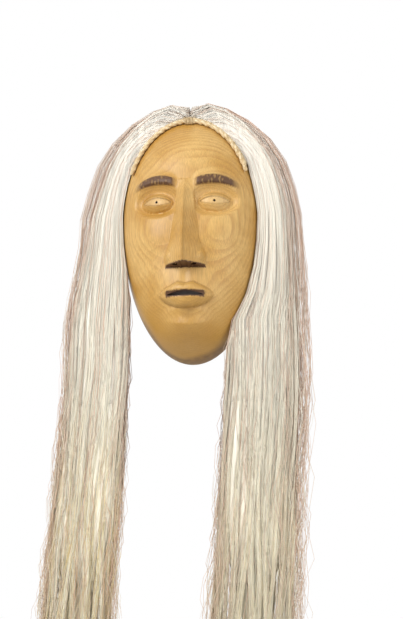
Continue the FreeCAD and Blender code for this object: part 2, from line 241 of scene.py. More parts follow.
def woodMaterial():
    look = woodLook
    material = bpy.data.materials.new("oiledCarvedWood")
    material.use_nodes = True
    tree = material.node_tree
    shader = tree.nodes["Principled BSDF"]
    place = addNode(tree, "ShaderNodeTexCoord").outputs["Object"]
    trunk = addNode(tree, "ShaderNodeMapping", {"Vector": place, "Location": (0.006, -look["trunkBehind"], 0.12)})
    grain = addNode(tree, "ShaderNodeGroup")
    grain.node_tree = trunkGrain
    tree.links.new(trunk.outputs[0], grain.inputs["Vector"])
    grain.inputs["Ring Spacing"].default_value = look["ringSpacing"]
    grain.inputs["Wander"].default_value = 0.010
    stainAndShade = addNode(tree, "ShaderNodeAttribute", attribute_name="stainAndShade").outputs["Fac"]
    bare = addNode(tree, "ShaderNodeAttribute", attribute_name="bare").outputs["Fac"]
    within = addNode(tree, "ShaderNodeAttribute", attribute_name="within").outputs["Fac"]
    gouge = addNode(tree, "ShaderNodeAttribute", attribute_name="gouge").outputs["Fac"]
    chinwardDarkening = addNode(tree, "ShaderNodeAttribute", attribute_name="chinwardDarkening").outputs["Fac"]
    patch = remap(tree, grain.outputs["Patches"], 0.32, 0.68)
    color = mixColor(tree, patch, look["honey"], look["pale"])
    color = mixColor(tree, math2(tree, "MULTIPLY", grain.outputs["Rings"], 0.42), color, look["lateWood"])
    fibre = remap(tree, grain.outputs["Fibres"], 0.35, 0.65, 0.86, 1.08)
    fibreColor = addNode(tree, "ShaderNodeCombineColor", {0: fibre, 1: fibre, 2: fibre}).outputs[0]
    color = mixColor(tree, 1.0, color, fibreColor, "MULTIPLY")
    color = mixColor(tree, math2(tree, "MULTIPLY", chinwardDarkening, 0.55), color, look["honey"])
    color = mixColor(tree, math2(tree, "MULTIPLY", bare, 0.8), color, look["bare"])
    color = mixColor(tree, math2(tree, "MULTIPLY", within, 0.75), color, look["inside"])
    # short tool marks across the stained bands
    cut = addNode(tree, "ShaderNodeMapping", {"Vector": place, "Scale": (1.0, 0.35, 0.42), "Rotation": (0, 0.5, 0)})
    markLinks = {"Vector": cut.outputs[0], "Scale": 300.0, "Randomness": 0.65}
    marks = addNode(tree, "ShaderNodeTexVoronoi", markLinks, feature="DISTANCE_TO_EDGE")
    markDepth = remap(tree, marks.outputs["Distance"], 0.02, 0.32)
    blotch = addNode(tree, "ShaderNodeTexNoise", {"Vector": place, "Scale": 180.0, "Detail": 4.0}).outputs["Fac"]
    markTone = math2(tree, "MULTIPLY", math2(tree, "SUBTRACT", 1.0, markDepth), math2(tree, "MULTIPLY", gouge, 0.55))
    blotchTone = math2(tree, "ADD", math2(tree, "MULTIPLY", blotch, 0.9), markTone)
    stainShadeShare = math2(tree, "MULTIPLY", stainAndShade, math2(tree, "ADD", blotchTone, 0.25), True)
    solid = math2(tree, "MULTIPLY", math2(tree, "SUBTRACT", stainAndShade, 1.0), 1.25, True)
    stainShadeShare = math2(tree, "MAXIMUM", stainShadeShare, solid)
    # the dark colour is real stain on the brows and chin, and painted shade under the nose, in the cuts and along
    # the lip and lid edges
    color = mixColor(tree, stainShadeShare, color, look["stainAndShade"])
    tree.links.new(color, shader.inputs["Base Color"])
    rough = remap(tree, grain.outputs["Patches"], 0.3, 0.7, 0.36, 0.5)
    rough = math2(tree, "ADD", rough, math2(tree, "MULTIPLY", stainAndShade, 0.12))
    rough = math2(tree, "ADD", rough, math2(tree, "MULTIPLY", within, 0.25))
    tree.links.new(rough, shader.inputs["Roughness"])
    shader.inputs["Specular IOR Level"].default_value = 0.45
    shader.inputs["Coat Weight"].default_value = 0.12
    shader.inputs["Coat Roughness"].default_value = 0.28
    # relief: rings stand a little, fibres less, gouges most
    height = math2(tree, "MULTIPLY", grain.outputs["Rings"], 0.10)
    height = math2(tree, "ADD", height, math2(tree, "MULTIPLY", grain.outputs["Fibres"], 0.10))
    height = math2(tree, "ADD", height, math2(tree, "MULTIPLY", math2(tree, "MULTIPLY", markDepth, gouge), 0.9))
    facets = addNode(tree, "ShaderNodeTexVoronoi", {"Vector": place, "Scale": 75.0}, feature="SMOOTH_F1")
    scoopDepth = math2(tree, "ADD", math2(tree, "MULTIPLY", within, 3.0), 0.35)
    scoop = math2(tree, "MULTIPLY", facets.outputs["Distance"], scoopDepth)
    height = math2(tree, "ADD", height, scoop)
    relief = addNode(tree, "ShaderNodeBump", {"Height": height, "Strength": 0.8, "Distance": 0.0007})
    tree.links.new(relief.outputs[0], shader.inputs["Normal"])
    return material


maskShape = {
    "halfWidth": (maskHigh[0] - maskLow[0]) / 2 / mm,
    "above": 112.0,  # crown to the widest level
    "depth": 66.0,
    "wall": 11.0,
    "fullness": 2.3,
    "segments": 320,
    "rings": 160,
    "innerRings": 36,
    "browLine": 86.0,  # below the crown
    "noseLength": 86.0,
    "eyeDrop": 19.0,  # below the brow
    "eyeApart": 59.0,
    "eyeWidth": 29.5,
    "mouthDrop": 29.0,  # below the nose
    "lipWidth": 56.0,
    "slotWidth": 38.0,
    "slotHeight": 5.0,
}
drills = {
    "sight": 1.1,
    "nostril": 2.8,
    "nostrilPitch": 50.0,  # degrees upwards
    "nostrilApart": 19.0,
    "nostrilFromDome": 8.0,
    "tie": 2.5,
    "tieFromBack": 8.0,
    "hanging": 2.5,
    "hangingDepth": 12.0,
}
crown = maskHigh[2] / mm
middle = crown - maskShape["above"]
chin = maskLow[2] / mm
below = middle - chin
brow = crown - maskShape["browLine"]
noseBase = brow - maskShape["noseLength"]
eyeLevel = brow - maskShape["eyeDrop"]
mouth = noseBase - maskShape["mouthDrop"]


def domeFront(x, z, shrink=0.0):
    high = np.where(z > middle, maskShape["above"], below) - shrink
    share = np.sqrt((x / (maskShape["halfWidth"] - shrink)) ** 2 + ((z - middle) / high) ** 2)
    fullness = maskShape["fullness"]
    return (maskShape["depth"] - shrink) * np.clip(1 - share**fullness, 0, 1) ** (1 / fullness)


# upper and lower edge of the eye's opening, above and below its middle
def lidLine(across):
    share = np.clip(across / (maskShape["eyeWidth"] / 2), -1, 1)
    arch = np.clip(1 - share**2, 0, 1)
    return 4.6 * arch**0.8, -3.3 * arch


# cheeks, chin, forehead and the mound under the lips
def broadForms(x, away, z):
    eyeX = maskShape["eyeApart"] / 2
    stand = 2.6 * bump(away, z, eyeX * 1.25, eyeLevel - 31, 34, 30)
    stand += 4.5 * bump(x, z, 0, mouth - 1, 44, 34, 1.5)
    stand += 9.5 * bump(x, z, 0, chin + 31, 33, 25, 1.6)
    stand -= 2.6 * bump(x, z, 0, mouth - 21, 24, 8, 1.3)
    stand += 2.0 * bump(x, z, 0, brow + 34, 46, 34)
    return stand


# sockets under sharp brows, and the stained band along each brow
def browForms(away, z):
    eyeX = maskShape["eyeApart"] / 2
    socket = bump(away, z, eyeX * 0.98, eyeLevel + 1, 27, 19, 1.0)
    browMid = brow + 4.0 - 0.0105 * (away - eyeX) ** 2
    browEnds = smoothStep(7, 15, away) * (1 - smoothStep(44, 57, away))
    browThick = 0.55 + 0.45 * np.clip(1 - ((away - 26) / 29) ** 2, 0, 1)
    overBrow = (z - browMid) / browThick
    upper = np.exp(-((overBrow / 6.5) ** 2))
    lower = np.exp(-((overBrow / 4.6) ** 4))
    stand = 3.6 * np.where(overBrow > 0, upper, lower) * browEnds - 7.0 * smoothStep(0.0, 0.75, socket)
    band = browEnds * smoothStep(-5.5, -4.3, overBrow) * (1 - smoothStep(4.2, 5.6, overBrow))
    return stand, band


# lids stand round a lens, with a second line cut over the upper lid
def eyeForms(away, z):
    across = away - maskShape["eyeApart"] / 2
    upper, lower = lidLine(across)
    rise = z - (eyeLevel + 0.02 * across)
    lens = np.clip(1 - (across / 17.0) ** 2 - (rise / 10.5) ** 2, 0, 1)
    edge = np.minimum(upper - rise, rise - lower)
    opening = smoothStep(-0.5, 0.5, edge) * (np.abs(across) < maskShape["eyeWidth"] / 2)
    fold = np.exp(-(((rise - upper - 3.4) / 0.75) ** 2)) * (np.abs(across) < 15.5) * (rise > 0)
    lowFold = np.exp(-(((rise - lower + 3.2) / 0.9) ** 2)) * smoothStep(15.5, 9, np.abs(across)) * (rise < 0)
    lidEdgeShade = np.exp(-((edge / 0.7) ** 2)) * (np.abs(across) < 15.2)
    stand = 8.0 * lens**0.75 - 1.3 * opening - 1.1 * fold - 0.5 * lowFold
    # the lid edges and the fold over the upper lid get painted shade
    return stand, np.maximum(0.55 * lidEdgeShade, 0.5 * fold), 0.4 * opening * (edge > 0.4)


# a wedge with a flat base and two wings, and painted shade on the band just under and round that base
def noseForms(away, z):
    top = brow + 4
    share = np.clip((top - z) / (top - noseBase), 0, 1)
    halfNose = np.interp(share, (0, 0.18, 0.35, 0.7, 0.88, 1.0), (10.0, 9.0, 10.5, 15.5, 20.5, 20.0))
    ridge = np.interp(share, (0, 0.15, 0.35, 0.75, 0.93, 1.0), (4.0, 7.5, 12.0, 20.5, 24.0, 22.8))
    flank = np.clip(1 - away / halfNose, 0, 1)
    arris = 0.10 * np.clip(1 - away / 2.4, 0, 1)
    form = flank ** np.interp(share, (0, 0.5, 1), (1.2, 0.95, 0.72)) * (0.90 + arris)
    baseWall = smoothStep(noseBase - 0.5, noseBase, z)
    topFade = 1 - smoothStep(brow - 12, top, z) * 0.55
    nose = ridge * form * baseWall * topFade * ((z < top) & (z > noseBase - 0.3))
    wing = bump(away, z, 14.0, noseBase + 8.0, 7.5, 10.0, 0.9) * baseWall
    # painted shade on the nose's underside and just below it
    base = smoothStep(noseBase + 1.5, noseBase + 0.7, z) * smoothStep(noseBase - 2.5, noseBase - 1.5, z)
    return np.maximum(nose, 9.5 * wing), base * (away < halfNose + 0.5)


# two full lips round the slot, and painted shade in lines along their edges
def lipForms(away, z):
    lipShare = np.clip(away / (maskShape["lipWidth"] / 2), 0, 1)
    taper = np.clip(1 - lipShare**2.2, 0, 1)
    bow = 1.8 * np.exp(-(((away - 7) / 6.0) ** 2)) - 0.9 * np.exp(-((away / 3.2) ** 2))
    topEdge = (11.5 + bow) * taper**0.75
    lowEdge = 13.5 * taper**0.85
    up = np.clip((z - mouth) / np.maximum(topEdge, 0.1), 0, 1)
    down = np.clip((mouth - z) / np.maximum(lowEdge, 0.1), 0, 1)
    upRound = (1 - up**3.0) ** 0.9 * (0.72 + 0.28 * smoothStep(0, 0.35, up))
    lowRound = (1 - down**3.2) ** 0.9 * (0.72 + 0.28 * smoothStep(0, 0.35, down))
    upForm = np.where(z >= mouth, upRound + 0.28 * (up < 1), 0)
    lowForm = np.where(z < mouth, lowRound + 0.25 * (down < 1), 0)
    stand = (7.6 * upForm + 8.4 * lowForm) * taper**0.6 * (lipShare < 1)
    lines = np.exp(-(((z - mouth - topEdge) / 0.9) ** 2)) + np.exp(-(((mouth - z - lowEdge) / 0.9) ** 2))
    return stand, 0.35 * lines * (lipShare < 0.97)


# how far the carving stands out of the plain dome at each place, and its painted masks
def carvedStand(x, z):
    away = np.abs(x)
    browStand, browBand = browForms(away, z)
    eyeStand, lidLineShade, bare = eyeForms(away, z)
    nose, noseUnderShade = noseForms(away, z)
    lipStand, lipLineShade = lipForms(away, z)
    stand = broadForms(x, away, z) + browStand + eyeStand
    # the nose stands on the dome at its own foot, not on the forms under it
    stand = np.where(nose > 0, np.maximum(stand, 0) * (1 - smoothStep(0, 6, nose)) + nose, stand)
    grooveEnds = smoothStep(mouth + 9, mouth + 14, z) * (1 - smoothStep(noseBase - 7, noseBase - 2, z))
    stand = stand - 1.3 * np.exp(-((x / 3.4) ** 2)) * grooveEnds + lipStand
    slotShade = np.exp(-(((z - mouth) / 2.7) ** 4)) * (1 - smoothStep(17, 22, away))
    # painted shadow under the lower lip
    underLipShadow = 0.38 * bump(x, z, 1.5, mouth - 17, 9, 9, 1.0)
    onChin = 0.16 * bump(x, z, 0, chin + 20, 30, 20, 1.0)
    # the brows and chin carry real stain; the nose's underside, the lip and lid edges, the slot's edge and the patch
    # under the lips get painted shade
    stainAndShade = 0.95 * browBand
    for layer in (1.9 * noseUnderShade, lipLineShade, lidLineShade, 1.5 * slotShade, underLipShadow, onChin):
        stainAndShade = np.maximum(stainAndShade, layer)
    gouge = np.maximum(browBand, 0.35 * bump(x, z, 0, chin + 30, 30, 22, 1.0))
    return stand, stainAndShade, bare, gouge


# draws the points nearest the nose's base onto its edge, so that the edge is sharp
def snapToEdges(x, z):
    near = (np.abs(x) < 23) & (z > noseBase - 1.5) & (z < noseBase + 0.5)
    level = np.where(z > noseBase - 0.5, noseBase + 0.02, noseBase - 0.6)
    return np.where(near, level, z)


# a half ball facing -Y, drawn out to the dome and, for the outer one, carved
def halfShell(name, rings, shrink):
    clearSelection()
    bpy.ops.mesh.primitive_uv_sphere_add(
        segments=maskShape["segments"], ring_count=rings * 2, radius=1.0, rotation=(math.pi / 2, 0, 0)
    )
    shell = bpy.context.object
    shell.name = name
    settle(shell)
    bpy.ops.object.mode_set(mode="EDIT")
    bpy.ops.mesh.select_all(action="SELECT")
    bpy.ops.mesh.bisect(plane_co=(0, 0, 0), plane_no=(0, 1, 0), clear_outer=True, threshold=1e-5)
    bpy.ops.object.mode_set(mode="OBJECT")
    ball = meshPoints(shell)
    polar = np.arccos(np.clip(-ball[:, 1], -1, 1))
    turn = np.arctan2(ball[:, 0], ball[:, 2])
    power = 2 / maskShape["fullness"]
    reach = np.sin(polar) ** power
    high = np.where(ball[:, 2] >= 0, maskShape["above"], below) - shrink
    x = reach * np.sin(turn) * (maskShape["halfWidth"] - shrink)
    z = middle + reach * np.cos(turn) * high
    front = (maskShape["depth"] - shrink) * np.clip(np.cos(polar), 0, 1) ** power
    front[np.abs(ball[:, 1]) < 1e-5] = 0
    return shell, x, z, front


def carveMask():
    outer, x, z, front = halfShell("carvedMask", maskShape["rings"], 0.0)
    z = snapToEdges(x, z)
    stand, stainAndShade, bare, gouge = carvedStand(x, z)
    nearRim = smoothStep(2.0, 12.0, front)
    y = -(front + stand * nearRim)
    stainAndShade = stainAndShade * nearRim
    # the side wall near the back rim is painted darker, and more so low beside the chin
    stainAndShade = np.maximum(stainAndShade, 0.5 * (1 - smoothStep(3.0, 9.0, front)))
    wobble = 2.5 * np.sin(x / 9.0) + 1.6 * np.sin(z / 7.0 + 1)
    lowSide = smoothStep(chin + 70, chin + 25, z) * smoothStep(24 + wobble, 12 + wobble, front)
    stainAndShade = np.maximum(stainAndShade, 0.8 * lowSide)
    setMeshPoints(outer, np.stack((x, y, z), axis=1) * mm)
    paintPoints(outer, "stainAndShade", stainAndShade)
    paintPoints(outer, "bare", bare)
    paintPoints(outer, "gouge", gouge)
    paintPoints(outer, "within", np.zeros(len(x)))
    paintPoints(outer, "chinwardDarkening", smoothStep(chin + 90, chin + 20, z) * 0.9)  # darker towards the chin
    inner, ix, iz, ifront = halfShell("maskInside", maskShape["innerRings"], maskShape["wall"])
    setMeshPoints(inner, np.stack((ix, -ifront, iz), axis=1) * mm)
    for name in ("stainAndShade", "bare", "gouge", "chinwardDarkening"):
        paintPoints(inner, name, np.zeros(len(ix)))
    paintPoints(inner, "within", smoothStep(-1.0, 3.0, ifront))
    pick(inner)
    bpy.ops.object.mode_set(mode="EDIT")
    bpy.ops.mesh.select_all(action="SELECT")
    bpy.ops.mesh.flip_normals()
    bpy.ops.object.mode_set(mode="OBJECT")
    clearSelection()
    inner.select_set(True)
    outer.select_set(True)
    bpy.context.view_layer.objects.active = outer
    bpy.ops.object.join()
    bpy.ops.object.mode_set(mode="EDIT")
    bpy.ops.mesh.select_all(action="DESELECT")
    bpy.ops.mesh.select_mode(type="EDGE")
    bpy.ops.mesh.select_non_manifold(
        extend=False, use_wire=False, use_boundary=True,
        use_multi_face=False, use_non_contiguous=False, use_verts=False,
    )
    bpy.ops.mesh.bridge_edge_loops()
    bpy.ops.object.mode_set(mode="OBJECT")
    outer.data.materials.clear()
    outer.data.materials.append(woodMaterial())
    return outer


# the middle of the right nostril's mouth, and the way it is drilled
def nostrilLine():
    pitch = math.radians(drills["nostrilPitch"])
    front = float(domeFront(np.array(0.0), np.array(noseBase)))
    mouthOfIt = np.array((drills["nostrilApart"] / 2, -front - drills["nostrilFromDome"], noseBase))
    return mouthOfIt, np.array((0, math.cos(pitch), math.sin(pitch)))


# the mouth slot's tool: a bar flattened to the slot, with its ends lower and narrower
def slotTool():
    slot = addBar(1 / mm, 80, (0, -75, mouth), (math.pi / 2, 0, 0), 48)
    settle(slot)
    points = meshPoints(slot)
    across = points[:, 0].copy()
    points[:, 0] = across * maskShape["slotWidth"] / 2 * mm
    lift = (points[:, 2] - mouth * mm) * maskShape["slotHeight"] / 2 * mm
    points[:, 2] = mouth * mm + lift * (1 - 0.35 * across**2) + 0.5 * mm * np.cos(across * 3.1) - 0.5 * mm
    setMeshPoints(slot, points)
    return slot


# sight holes, nostrils, tie holes, hanging hole and mouth slot, each cut by its own tool shape
def drillMask(mask):
    tools = []
    eyeX = maskShape["eyeApart"] / 2
    start, way = nostrilLine()
    for side in (-1, 1):
        tools.append(addBar(drills["sight"], 200, (side * eyeX, -100, eyeLevel), (math.pi / 2, 0, 0), 20))
        middleOfIt = (start + way * 3.2) * (side, 1, 1)
        turned = (math.pi / 2 + math.radians(drills["nostrilPitch"]), 0, 0)
        tools.append(addBar(drills["nostril"], 17.6, middleOfIt, turned))
    tools.append(addBar(drills["tie"], 300, (0, -drills["tieFromBack"], middle), (0, math.pi / 2, 0)))
    tools.append(addBar(drills["hanging"], 2 * drills["hangingDepth"], (0, 0, 0), (math.pi / 2, 0, 0)))
    tools.append(slotTool())
    for tool in tools:
        settle(tool)
        cutAway(mask, tool)
    paintShadeInCuts(mask)


# painted shade on the walls of the mouth slot, the nostrils and the sight holes
def paintShadeInCuts(mask):
    points = meshPoints(mask) / mm
    away = np.abs(points[:, 0])
    stainAndShade = np.empty(len(points), dtype=np.float32)
    layer = mask.data.attributes["stainAndShade"].data
    layer.foreach_get("value", stainAndShade)
    fromSlot = np.abs(points[:, 2] - mouth + 0.3) - maskShape["slotHeight"] / 2
    stainAndShade[(away < maskShape["slotWidth"] / 2 + 0.4) & (fromSlot < 0.6)] = 1.7
    start, way = nostrilLine()
    reach = np.stack((away, points[:, 1], points[:, 2]), axis=1) - start
    along = reach @ way
    off = np.linalg.norm(reach - along[:, None] * way, axis=1)
    stainAndShade[(off < 3.0) & (along > -2) & (along < 13)] = 1.9
    inSight = (np.hypot(away - maskShape["eyeApart"] / 2, points[:, 2] - eyeLevel) < 1.25) & (points[:, 1] < 0)
    stainAndShade[inSight] = 1.6
    layer.foreach_set("value", stainAndShade)


mask = carveMask()
drillMask(mask)
pick(mask)
bpy.ops.object.shade_smooth_by_angle(angle=math.radians(38))
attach(mask, "mask")
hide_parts("mask_shell")
print("mask carved,", len(mask.data.polygons), "faces")


hairLook = {
    "strands": 2200,
    "clumps": 120,
    "radius": 0.22,
    "strayShare": 0.13,
    "seatOnHide": 4.7,  # the lowest hair above the wood, over the nails
    "seat": 1.0,
    "crownPile": 7.6,
    "cheekPile": 26.0,
    "rootSpread": 58.0,  # degrees round the crown from the parting to the last roots
    "front": 36.0,
    "back": 12.0,
    "crownShare": 0.26,  # share of a strand's length that lies round the crown
    "split": -300.0,  # level where the upper and lower pieces meet
    "farLeft": -171.0,
    "farRight": 126.0,
    "stepsUpper": 15,
    "stepsLower": 14,
}
swayLevel = crown - 268.0
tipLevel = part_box("left_hair_fall")[0][2] / mm
hanks = {
    "left": {
        "side": -1, "inner": 64.0, "outer": 124.0, "innerTip": 88.0, "outerTip": 156.0,
        "seed": 11, "yellow": 0.85, "fringe": 9.0, "fringeFade": 0.5,
    },
    "right": {
        "side": 1, "inner": 38.0, "outer": 110.0, "innerTip": 18.0, "outerTip": 96.0,
        "seed": 23, "yellow": 0.35, "fringe": 14.0, "fringeFade": 0.0,
    },
}
hairColors = {
    "ivory": (0.92, 0.885, 0.81),
    "cream": (0.95, 0.88, 0.68),
    "yellow": (0.86, 0.70, 0.34),
    "tan": (0.68, 0.46, 0.28),
    "shadeBrown": (0.16, 0.085, 0.04),
    "rust": (0.80, 0.50, 0.36),
}


# share of the mask's full width and height that is left at a distance in front of the rim
def domeShare(deep):
    fullness = maskShape["fullness"]
    return np.clip(1 - (np.abs(deep) / maskShape["depth"]) ** fullness, 0, 1) ** (1 / fullness)


# inner and outer edge of a hank at levels from the widest part of the mask down
def hankEdges(hank, z, wide):
    share = (swayLevel - z) / (swayLevel - tipLevel)
    inner = hank["inner"] + share * (hank["innerTip"] - hank["inner"])
    outer = hank["outer"] + share * (hank["outerTip"] - hank["outer"])
    fall = smoothStep(middle + 40, swayLevel + 20, z)
    cheek = maskShape["halfWidth"]
    high = np.where(z > middle, maskShape["above"], below) * wide
    jaw = cheek * wide * np.sqrt(np.clip(1 - ((z - middle) / high) ** 2, 0, 1)) + hairLook["seat"]
    early = smoothStep(middle, middle - 70, z)
    onCheek = cheek * wide + hairLook["seat"]
    innerHigh = np.maximum(onCheek + (hank["inner"] - cheek * wide - hairLook["seat"]) * early, jaw)
    outerHigh = cheek + hairLook["cheekPile"] + (hank["outer"] - cheek - hairLook["cheekPile"]) * fall
    return np.where(z > swayLevel, innerHigh, inner), np.where(z > swayLevel, outerHigh, outer)


# places along strands: u runs from the inner to the outer edge, v from back to front and share
# from root to tip; the first part lies round the crown, the rest hangs
def strandPath(hank, u, v, share, angle0):
    look = hairLook
    crownShare = look["crownShare"]
    onCrown = share < crownShare
    center = -(look["front"] + look["back"]) / 2
    deep = (look["front"] - look["back"]) / 2
    body = np.sqrt(np.clip(1 - (2 * u - 1) ** 2 * 0.75, 0, 1))
    spread = smoothStep(0.12, 0.34, share)
    y = center - v * deep * (0.95 + (body - 0.95) * spread)
    wide = domeShare(y)
    angle = angle0 + (math.pi / 2 - angle0) * np.clip(share / crownShare, 0, 1)
    rootsFrom = 1 - np.clip((angle + 0.03) / math.radians(look["rootSpread"] + 4), 0, 1) ** (1 / 1.1)
    layer = np.clip((u - rootsFrom) / np.maximum(1 - rootsFrom, 0.05), 0, 1)
    turned = angle / (math.pi / 2)
    pile = look["crownPile"] + (look["cheekPile"] - look["crownPile"]) * turned**0.75
    pastHide = smoothStep(math.radians(56), math.radians(66), angle)
    seat = look["seatOnHide"] + (look["seat"] - look["seatOnHide"]) * pastHide
    edge = maskShape["halfWidth"] * wide
    lying = 1.7 * (1 - smoothStep(0.0, 0.14, angle - angle0)) * (angle0 < 1.0)
    gap = seat - lying + layer * (pile - seat + (maskShape["halfWidth"] - edge) * turned)
    crownX = (edge + gap) * np.sin(angle)
    high = maskShape["above"] * wide + gap + (1 - turned) * (1 - wide) * maskShape["above"] * layer
    crownZ = middle + high * np.cos(angle)
    hang = np.clip((share - crownShare) / (1 - crownShare), 0, 1)
    z = middle + hang * (tipLevel - middle)
    inner, outer = hankEdges(hank, z, wide)
    hangX = inner + u * (outer - inner)
    return hank["side"] * np.where(onCrown, crownX, hangX), y, np.where(onCrown, crownZ, z)


# points and faces of tubes along strands, closed at both ends
def tubes(paths, radii, sides=3):
    count, steps = paths.shape[:2]
    along = np.gradient(paths, axis=1)
    along /= np.linalg.norm(along, axis=2, keepdims=True) + 1e-9
    out = np.zeros_like(along)
    out[..., 1] = -1.0
    sideways = np.cross(along, out)
    sideways /= np.linalg.norm(sideways, axis=2, keepdims=True) + 1e-9
    out = np.cross(sideways, along)
    ring = []
    for corner in range(sides):
        turn = 2 * math.pi * corner / sides + math.pi / 2
        ring.append(paths + (sideways * math.cos(turn) + out * math.sin(turn)) * radii[..., None])
    points = np.stack(ring, axis=2).reshape(-1, 3)
    base = (np.arange(count)[:, None] * steps + np.arange(steps - 1)[None, :]) * sides
    walls = []
    for corner in range(sides):
        after = (corner + 1) % sides
        wallCorners = (base + corner, base + after, base + after + sides, base + corner + sides)
        walls.append(np.stack(wallCorners, axis=-1).reshape(-1, 4))
    # the end caps have points of their own, so that they don't bend the walls' shading
    first = (np.arange(count) * steps)[:, None].repeat(sides, 1).ravel()
    source = np.concatenate((np.arange(count * steps).repeat(sides), first, first + steps - 1))
    rings = points.reshape(count, steps, sides, 3)
    points = np.concatenate((points, rings[:, 0].reshape(-1, 3), rings[:, -1].reshape(-1, 3)))
    caps = count * steps * sides + np.arange(2 * count)[:, None] * sides + np.arange(sides)[None]
    caps[:count] = caps[:count, ::-1]
    return points, (np.concatenate(walls), caps), source


# faces that join rings of points, one ring after another
def loopFaces(rings, around):
    ring = np.arange(around)
    after = (ring + 1) % around
    base = np.arange(rings - 1)[:, None] * around
    return np.stack((base + ring, base + after, base + after + around, base + ring + around), axis=-1).reshape(-1, 4)


def buildMesh(name, points, faceSets):
    mesh = bpy.data.meshes.new(name)
    mesh.vertices.add(len(points))
    mesh.vertices.foreach_set("co", np.ascontiguousarray(points * mm, dtype=np.float32).ravel())
    corners = np.concatenate([faces.ravel() for faces in faceSets]).astype(np.int32)
    sizes = np.concatenate([np.full(len(faces), faces.shape[1]) for faces in faceSets]).astype(np.int32)
    mesh.loops.add(len(corners))
    mesh.loops.foreach_set("vertex_index", corners)
    mesh.polygons.add(len(sizes))
    mesh.polygons.foreach_set("loop_start", (np.cumsum(sizes) - sizes).astype(np.int32))
    mesh.polygons.foreach_set("loop_total", sizes)
    mesh.polygons.foreach_set("use_smooth", np.ones(len(sizes), dtype=bool))
    mesh.update(calc_edges=True)
    mesh.validate()
    piece = bpy.data.objects.new(name, mesh)
    bpy.context.scene.collection.objects.link(piece)
    return piece


def hairMaterial(name, lock):
    material = bpy.data.materials.new(name)
    material.use_nodes = True
    tree = material.node_tree
    shader = tree.nodes["Principled BSDF"]
    place = addNode(tree, "ShaderNodeTexCoord").outputs["Object"]
    tone = addNode(tree, "ShaderNodeAttribute", attribute_name="strandColor").outputs["Color"]
    drawn = addNode(tree, "ShaderNodeMapping", {"Vector": place, "Scale": (1.0, 1.0, 0.03)})
    streakLinks = {"Vector": drawn.outputs[0], "Scale": 700.0 if lock else 420.0, "Detail": 3.0}
    streak = addNode(tree, "ShaderNodeTexNoise", streakLinks).outputs["Fac"]
    level = remap(tree, streak, 0.3, 0.7, 0.84 if lock else 0.90, 1.03 if lock else 1.04)
    grey = addNode(tree, "ShaderNodeCombineColor", {0: level, 1: level, 2: level}).outputs[0]
    color = mixColor(tree, 1.0, tone, grey, "MULTIPLY")
    tree.links.new(color, shader.inputs["Base Color"])
    tree.links.new(remap(tree, streak, 0.3, 0.7, 0.5, 0.36), shader.inputs["Roughness"])
    shader.inputs["Specular IOR Level"].default_value = 0.4
    shader.inputs["Sheen Weight"].default_value = 0.3
    shader.inputs["Sheen Roughness"].default_value = 0.4
    if lock:
        relief = addNode(tree, "ShaderNodeBump", {"Height": streak, "Strength": 1.0, "Distance": 0.0012})
        tree.links.new(relief.outputs[0], shader.inputs["Normal"])
    return material


strandMaterial = hairMaterial("horsehairStrand", False)
lockMaterial = hairMaterial("horsehairLock", True)


# a colour for every ring of every strand
def strandTints(hank, rng, u, v, share, stray):
    palette = {name: np.array(value) for name, value in hairColors.items()}
    count = len(u)
    base = palette["ivory"] * (1 - share[..., None]) + palette["cream"] * share[..., None]
    pickOne = rng.random(count)
    low = smoothStep(0.48, 0.8, share)[..., None]
    yellow = ((pickOne < 0.38) * hank["yellow"])[:, None, None]
    base = base * (1 - yellow * low) + palette["yellow"] * yellow * low
    # painted shade: inner strands near the back are darkened brown, most in the middle of their length
    innerShade = np.clip((0.2 - u) / 0.16, 0, 1) * (rng.random(count) < 0.8) * smoothStep(0.95, 0.1, v)
    mid = smoothStep(0.30, 0.40, share) * (1 - smoothStep(0.62, 0.74, share))
    amount = (innerShade[:, None] * (0.1 + 0.9 * mid))[..., None]
    base = base * (1 - amount) + palette["shadeBrown"] * amount
    thread = ((rng.random(count) < 0.09) * rng.uniform(0.25, 0.7, count))[:, None, None]
    base = base * (1 - thread) + palette["tan"] * thread
    edgeTan = (np.clip((np.abs(u - 0.5) - 0.36) / 0.14, 0, 1) * (rng.random(count) < 0.4))[:, None, None] * 0.5
    base = base * (1 - edgeTan) + palette["tan"] * edgeTan
    rust = (stray * (rng.random(count) < 0.6))[:, None, None] * 0.6
    base = base * (1 - rust) + palette["rust"] * rust
    return np.clip(base * rng.uniform(0.88, 1.08, (count, 1, 1)), 0, 0.97)


